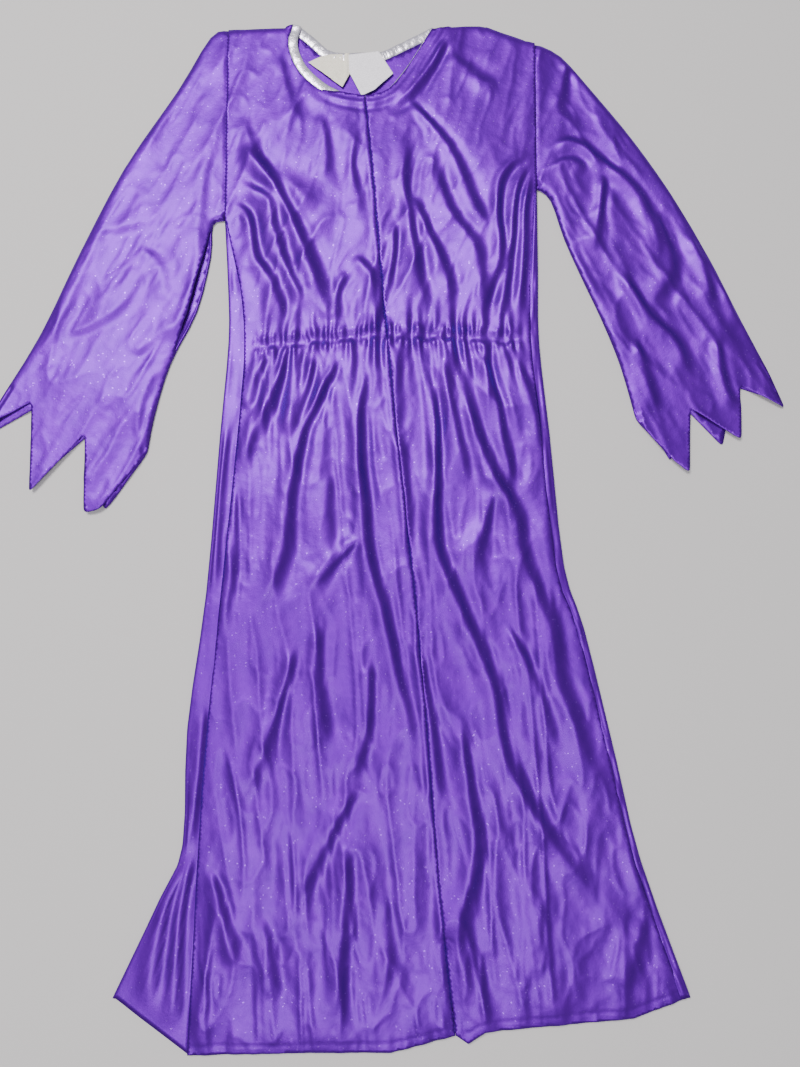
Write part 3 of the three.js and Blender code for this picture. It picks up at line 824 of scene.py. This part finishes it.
def sleeve_loop(side, layer):
    """The outline of a sleeve's layer, tucked under the body and rounded at the cuff."""
    loop = loop_of(f"{side}_sleeve_{layer}")
    sign = OUTWARD[side]
    at_armhole = np.abs(loop[:, 0] - ARMHOLES[side]) < 3
    loop[at_armhole, 0] -= sign * ARMHOLE_OVERLAP
    loop = resampled(loop, 3.0, closed=True)
    cuff = np.abs(loop[:, 0] - ARMHOLES[side]) > CUFF_REACH
    for _ in range(3):
        rounded = (np.roll(loop, 1, axis=0) + 2 * loop + np.roll(loop, -1, axis=0)) / 4
        loop = np.where(cuff[:, None], rounded, loop)
    if (side, layer) == ("right", "front"):
        share = np.clip((loop[:, 1] - SLIT[0]) / (SLIT[1] - SLIT[0]), 0, 1)
        at_seam = nearest(loop[:, 0], loop[:, 1], path_of("right_sleeve_seam")[0])[0] < 9
        loop[:, 0] -= at_seam * SLIT_WIDTH * np.sin(math.pi * share) ** 0.7
    return loop


def make_sleeve(side, layer):
    """One layer of a sleeve. The right front gapes open along its underarm slit."""
    sign = OUTWARD[side]
    loop = sleeve_loop(side, layer)
    fold_path = path_of(f"{side}_sleeve_fold")[0]
    seam_path = path_of(f"{side}_sleeve_seam")[0]

    def edge_gap(x, drop):
        """Distance to the panel's nearer long edge. It is shorter outside an edge strip's middle."""
        at_fold = nearest(x, drop, fold_path)
        at_seam = nearest(x, drop, seam_path)
        from_fold = PANEL_EDGE + np.where(sign * at_fold[2] > 0, -1, 1) * at_fold[0]
        from_seam = PANEL_EDGE + np.where(sign * at_seam[2] < 0, -1, 1) * at_seam[0]
        return np.clip(np.minimum(from_fold, from_seam), 0.2, None)

    def height(x, drop):
        edges = edge_gap(x, drop)
        top = rolled(rolled(sleeve_front(x, drop, side), shoulder_gap(x, drop)), edges, 2.0, 8.0)
        if layer == "front":
            if side == "right":
                gape = np.sin(math.pi * np.clip((drop - SLIT[0]) / (SLIT[1] - SLIT[0]), 0, 1)) ** 0.5
                top += 1.6 * gape * np.exp(-(((edges - SLIT_WIDTH - 3) / 5) ** 2))
            return top - 0.9 * (1 - smoothstep(sign * (x - ARMHOLES[side]) / 3))
        lean = SLEEVE_LEAN[side]
        across = x * math.cos(lean) + drop * math.sin(lean)
        down = drop * math.cos(lean) - x * math.sin(lean)
        creases = crease(across, down * 0.4, 26, 66) * smoothstep(edges / 12)
        return BACK_LIFT + 0.2 + 0.9 * np.exp(-(edges / 4) ** 2) + 1.3 * creases

    points, faces = sheet_points(loop, FINE if layer == "front" else COARSE, 3, height)
    piece = add_mesh(f"{side}_sleeve_{layer}_satin", points, faces)
    thicken(piece, CLOTH, -1.0 if layer == "front" else 0.0)
    dressed(piece, VIOLET, [f"{side}_sleeve_{layer}"], None)
    bend_at_armhole(piece)
    loop_of(f"{side}_sleeve_{layer}")


def bend_at_armhole(piece):
    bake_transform(piece)


def make_sleeve_edge(side, edge):
    """The rolled outer edge or the underarm seam of a sleeve, between its two layers."""
    sign = OUTWARD[side]
    path = path_of(f"{side}_sleeve_{edge}")[0]
    if path[0][1] > path[-1][1]:
        path = path[::-1]
    line = smooth_path(resampled(path, 12.0), 4)
    along = np.gradient(line, axis=0)
    along /= np.linalg.norm(along, axis=1)[:, None]
    out = np.column_stack([along[:, 1], -along[:, 0]]) * sign * (1 if edge == "fold" else -1)
    line = line + out * SLEEVE_ROLL_OUT
    centre = np.column_stack([line, np.full(len(line), 1.75)])
    points, faces = tube(centre, 1.1 if edge == "fold" else 0.8, 0.8)
    piece = add_mesh(f"{side}_sleeve_{edge}_roll", points, faces)
    dressed(piece, VIOLET, [f"{side}_sleeve_{edge}"], None)
    bend_at_armhole(piece)


# ---------- Seams, hems and elastic ----------

def under_front(x, drop):
    return front_surface(x, drop) - UNDER_FRONT


def under_shoulder(x, drop):
    return front_surface(x, drop) - UNDER_SHOULDER


def elastic_ribs(x, drop):
    return front_surface(x, drop) - UNDER_ELASTIC + 0.25 * np.sin(x * 1.6)


def over_back(x, drop):
    return np.full(x.shape, BACK_LIFT + OVER_BACK)


def make_band(name, node, height, material, across=5, step=3.0):
    """A flat strip that follows a CAD strip."""
    path, width = path_of(node)
    points, faces = ribbon(path, width, height, step, across)
    piece = add_mesh(name, points, faces)
    thicken(piece, CLOTH)
    dressed(piece, material, [node], "dress")
    if width >= NARROWEST_SHEET:
        length = float(np.linalg.norm(np.diff(path, axis=0), axis=1).sum())


def make_armhole_seam(side):
    """A ring of turned cloth round an armhole: under the front, over the back and closed at both ends."""
    sign = OUTWARD[side]
    low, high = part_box(f"{side}_armhole_seam")
    top, bottom = (TOP - high.y) / MM, (TOP - low.y) / MM
    inner = ARMHOLES[side] - sign * 8
    drops = np.arange(top, bottom, 3.0)
    rows = []
    for x in np.linspace(inner, inner + sign * 5, 3):
        across = np.full(drops.shape, x)
        upper = np.column_stack([across, drops, under_front(across, drops)])
        lower = np.column_stack([across, drops, over_back(across, drops)])
        rows.append(np.vstack([upper, lower[::-1]]))
    faces = grid_faces(len(rows), len(rows[0]), ring=True)
    piece = add_mesh(f"{side}_armhole_allowance", np.vstack(rows), faces)
    thicken(piece, CLOTH, 0.0)
    dressed(piece, SEAM, [f"{side}_armhole_seam"], "dress")


def make_seams():
    for side in ARMHOLES:
        make_band(f"{side}_side_allowance", f"{side}_side_seam", under_front, SEAM)
        make_band(f"{side}_shoulder_allowance", f"{side}_shoulder_seam", under_shoulder, SEAM)
        make_armhole_seam(side)
    make_band("front_seam_allowance", "centre_front_seam", under_front, SEAM)
    make_band("back_seam_allowance", "centre_back_seam", over_back, SEAM)
    make_band("front_hem_band", "front_hem", under_front, SEAM)
    make_band("back_hem_band", "back_hem", over_back, SEAM)
    make_band("waist_elastic_band", "waist_elastic", elastic_ribs, ELASTIC, step=1.2, across=7)


# ---------- Neck ----------

def make_binding(name, node, line, z, width, thickness):
    """A flattened tube of silver cloth along a line of (x, drop) points."""
    points, faces = tube(np.column_stack([line, z]), width * 0.72, thickness, 14)
    piece = add_mesh(name, wrinkled(points, line), faces)
    dressed(piece, SILVER, [node], "dress")


def make_front_binding():
    path, width = path_of("front_neck_binding")
    line = smooth_path(resampled(path, 9.0), 6)
    x, drop = line[:, 0], line[:, 1]
    z = 5.3 - 2.9 * covered(x) - 2.2 * np.exp(-((shoulder_gap(x, drop)) / 9) ** 2)
    z += 0.35 * noise(x, drop, 9, 31)
    make_binding("front_neck_band", "front_neck_binding", line, z, width, 1.0)


def make_back_binding(side):
    path, width = path_of(f"{side}_back_neck_binding")
    line = smooth_path(resampled(path, 9.0), 6)
    z = 1.75 + 0.9 * np.exp(-(shoulder_gap(line[:, 0], line[:, 1]) / 9) ** 2)
    make_binding(f"{side}_back_neck_band", f"{side}_back_neck_binding", line, z, width, 0.9)


def wrinkled(points, line):
    """The upper half of a binding's points, moved by its cross wrinkles."""
    share, signed = nearest(points[:, 0], points[:, 1], line)[1:]
    run = share * 100
    upper = points[:, 2] > np.median(points[:, 2])
    points[:, 2] += upper * (0.35 * noise(run * 1.9 + signed * 0.4, signed * 0.2, 1.0, 33)
                             + 0.3 * noise(run, signed * 0.3, 3.0, 34))
    return points


# ---------- Labels and closure ----------

def label_outline(node):
    """A label as it lies, placed from the middle of its CAD sewn edge."""
    loop = loop_of(node)
    top = loop[np.argsort(loop[:, 1])[:2]].mean(0)
    return np.array(LABEL_SHAPES[node]) + top


def make_label(node, body, material, height):
    loop = label_outline(node)
    points, faces = sheet_points(loop, 1.3, 4, height)
    piece = add_mesh(f"{node}_cloth", points, faces)
    thicken(piece, LABEL_THICKNESS)
    dressed(piece, material, [node], body)


def label_height(x, drop):
    """Labels lie just over the back binding and lift a little towards their free ends."""
    free = smoothstep((drop - 32) / 34)
    return 3.1 + 1.0 * free + 0.35 * noise(x, drop, 11, 51)


def size_label_height(x, drop):
    """The size label is folded over on its right side and creased."""
    groove = np.exp(-((x + 44 - 0.05 * (drop - 40)) / 1.1) ** 2)
    hump = np.exp(-((x + 41.5) / 1.6) ** 2)
    creases = crease(x, drop, 7.0, 52) * smoothstep((drop - 38) / 12)
    return label_height(x, drop) - 0.5 * groove + 1.0 * hump + 0.9 * creases


def care_label_height(x, drop):
    return label_height(x, drop) + 0.7


def make_tape(node, level):
    """A hook or loop tape: a small pad with a rough pile."""
    loop = loop_of(node)

    def rough(x, drop):
        return level + 0.22 * noise(x, drop, 0.9, 55)

    points, faces = sheet_points(loop, 0.8, 5, rough)
    piece = add_mesh(f"{node}_pile", points, faces)
    thicken(piece, TAPE_THICKNESS)
    dressed(piece, TAPE, [node], "dress")


def make_neck():
    make_front_binding()
    for side in ARMHOLES:
        make_back_binding(side)
    make_tape("loop_tape", 1.75)
    make_tape("hook_tape", 2.35)
    make_label("size_label", "size_label", CREAM, size_label_height)
    make_label("care_label", "care_label", WHITE, care_label_height)


# ---------- Camera, light and floor ----------

def make_stage():
    bpy.ops.mesh.primitive_plane_add(size=FLOOR_SIZE, location=(0, 0, 0))
    floor = bpy.context.object
    floor.name = "floor"
    material, _, _, shader = new_material("pale_floor")
    shader.inputs["Base Color"].default_value = FLOOR_COLOUR
    shader.inputs["Roughness"].default_value = 0.7
    floor.data.materials.append(material)


def make_light(name, place, size, power, colour):
    data = bpy.data.lights.new(name, "AREA")
    data.shape = "DISK"
    data.size = size
    data.energy = power
    data.color = colour
    light = bpy.data.objects.new(name, data)
    light.location = place
    light.rotation_euler = (-Vector(place)).to_track_quat("-Z", "Y").to_euler()
    bpy.context.scene.collection.objects.link(light)


def make_camera():
    data = bpy.data.cameras.new("camera")
    data.lens = CAMERA_LENS
    data.sensor_width = SENSOR_WIDTH
    camera = bpy.data.objects.new("camera", data)
    camera.location = CAMERA_PLACE
    camera.rotation_euler = (math.radians(CAMERA_TILT), 0, 0)
    bpy.context.scene.collection.objects.link(camera)
    bpy.context.scene.camera = camera


def make_world():
    world = bpy.data.worlds.new("studio")
    bpy.context.scene.world = world
    world.use_nodes = True
    back = world.node_tree.nodes["Background"]
    back.inputs["Color"].default_value = SKY_COLOUR
    back.inputs["Strength"].default_value = SKY_STRENGTH


make_camera()
make_stage()
make_world()
for light in LIGHTS:
    make_light(*light)

for side in ("right", "left"):
    make_back(side)
    make_front(side)
    for layer in ("back", "front"):
        make_sleeve(side, layer)
    for edge in ("fold", "seam"):
        make_sleeve_edge(side, edge)
make_seams()
make_neck()
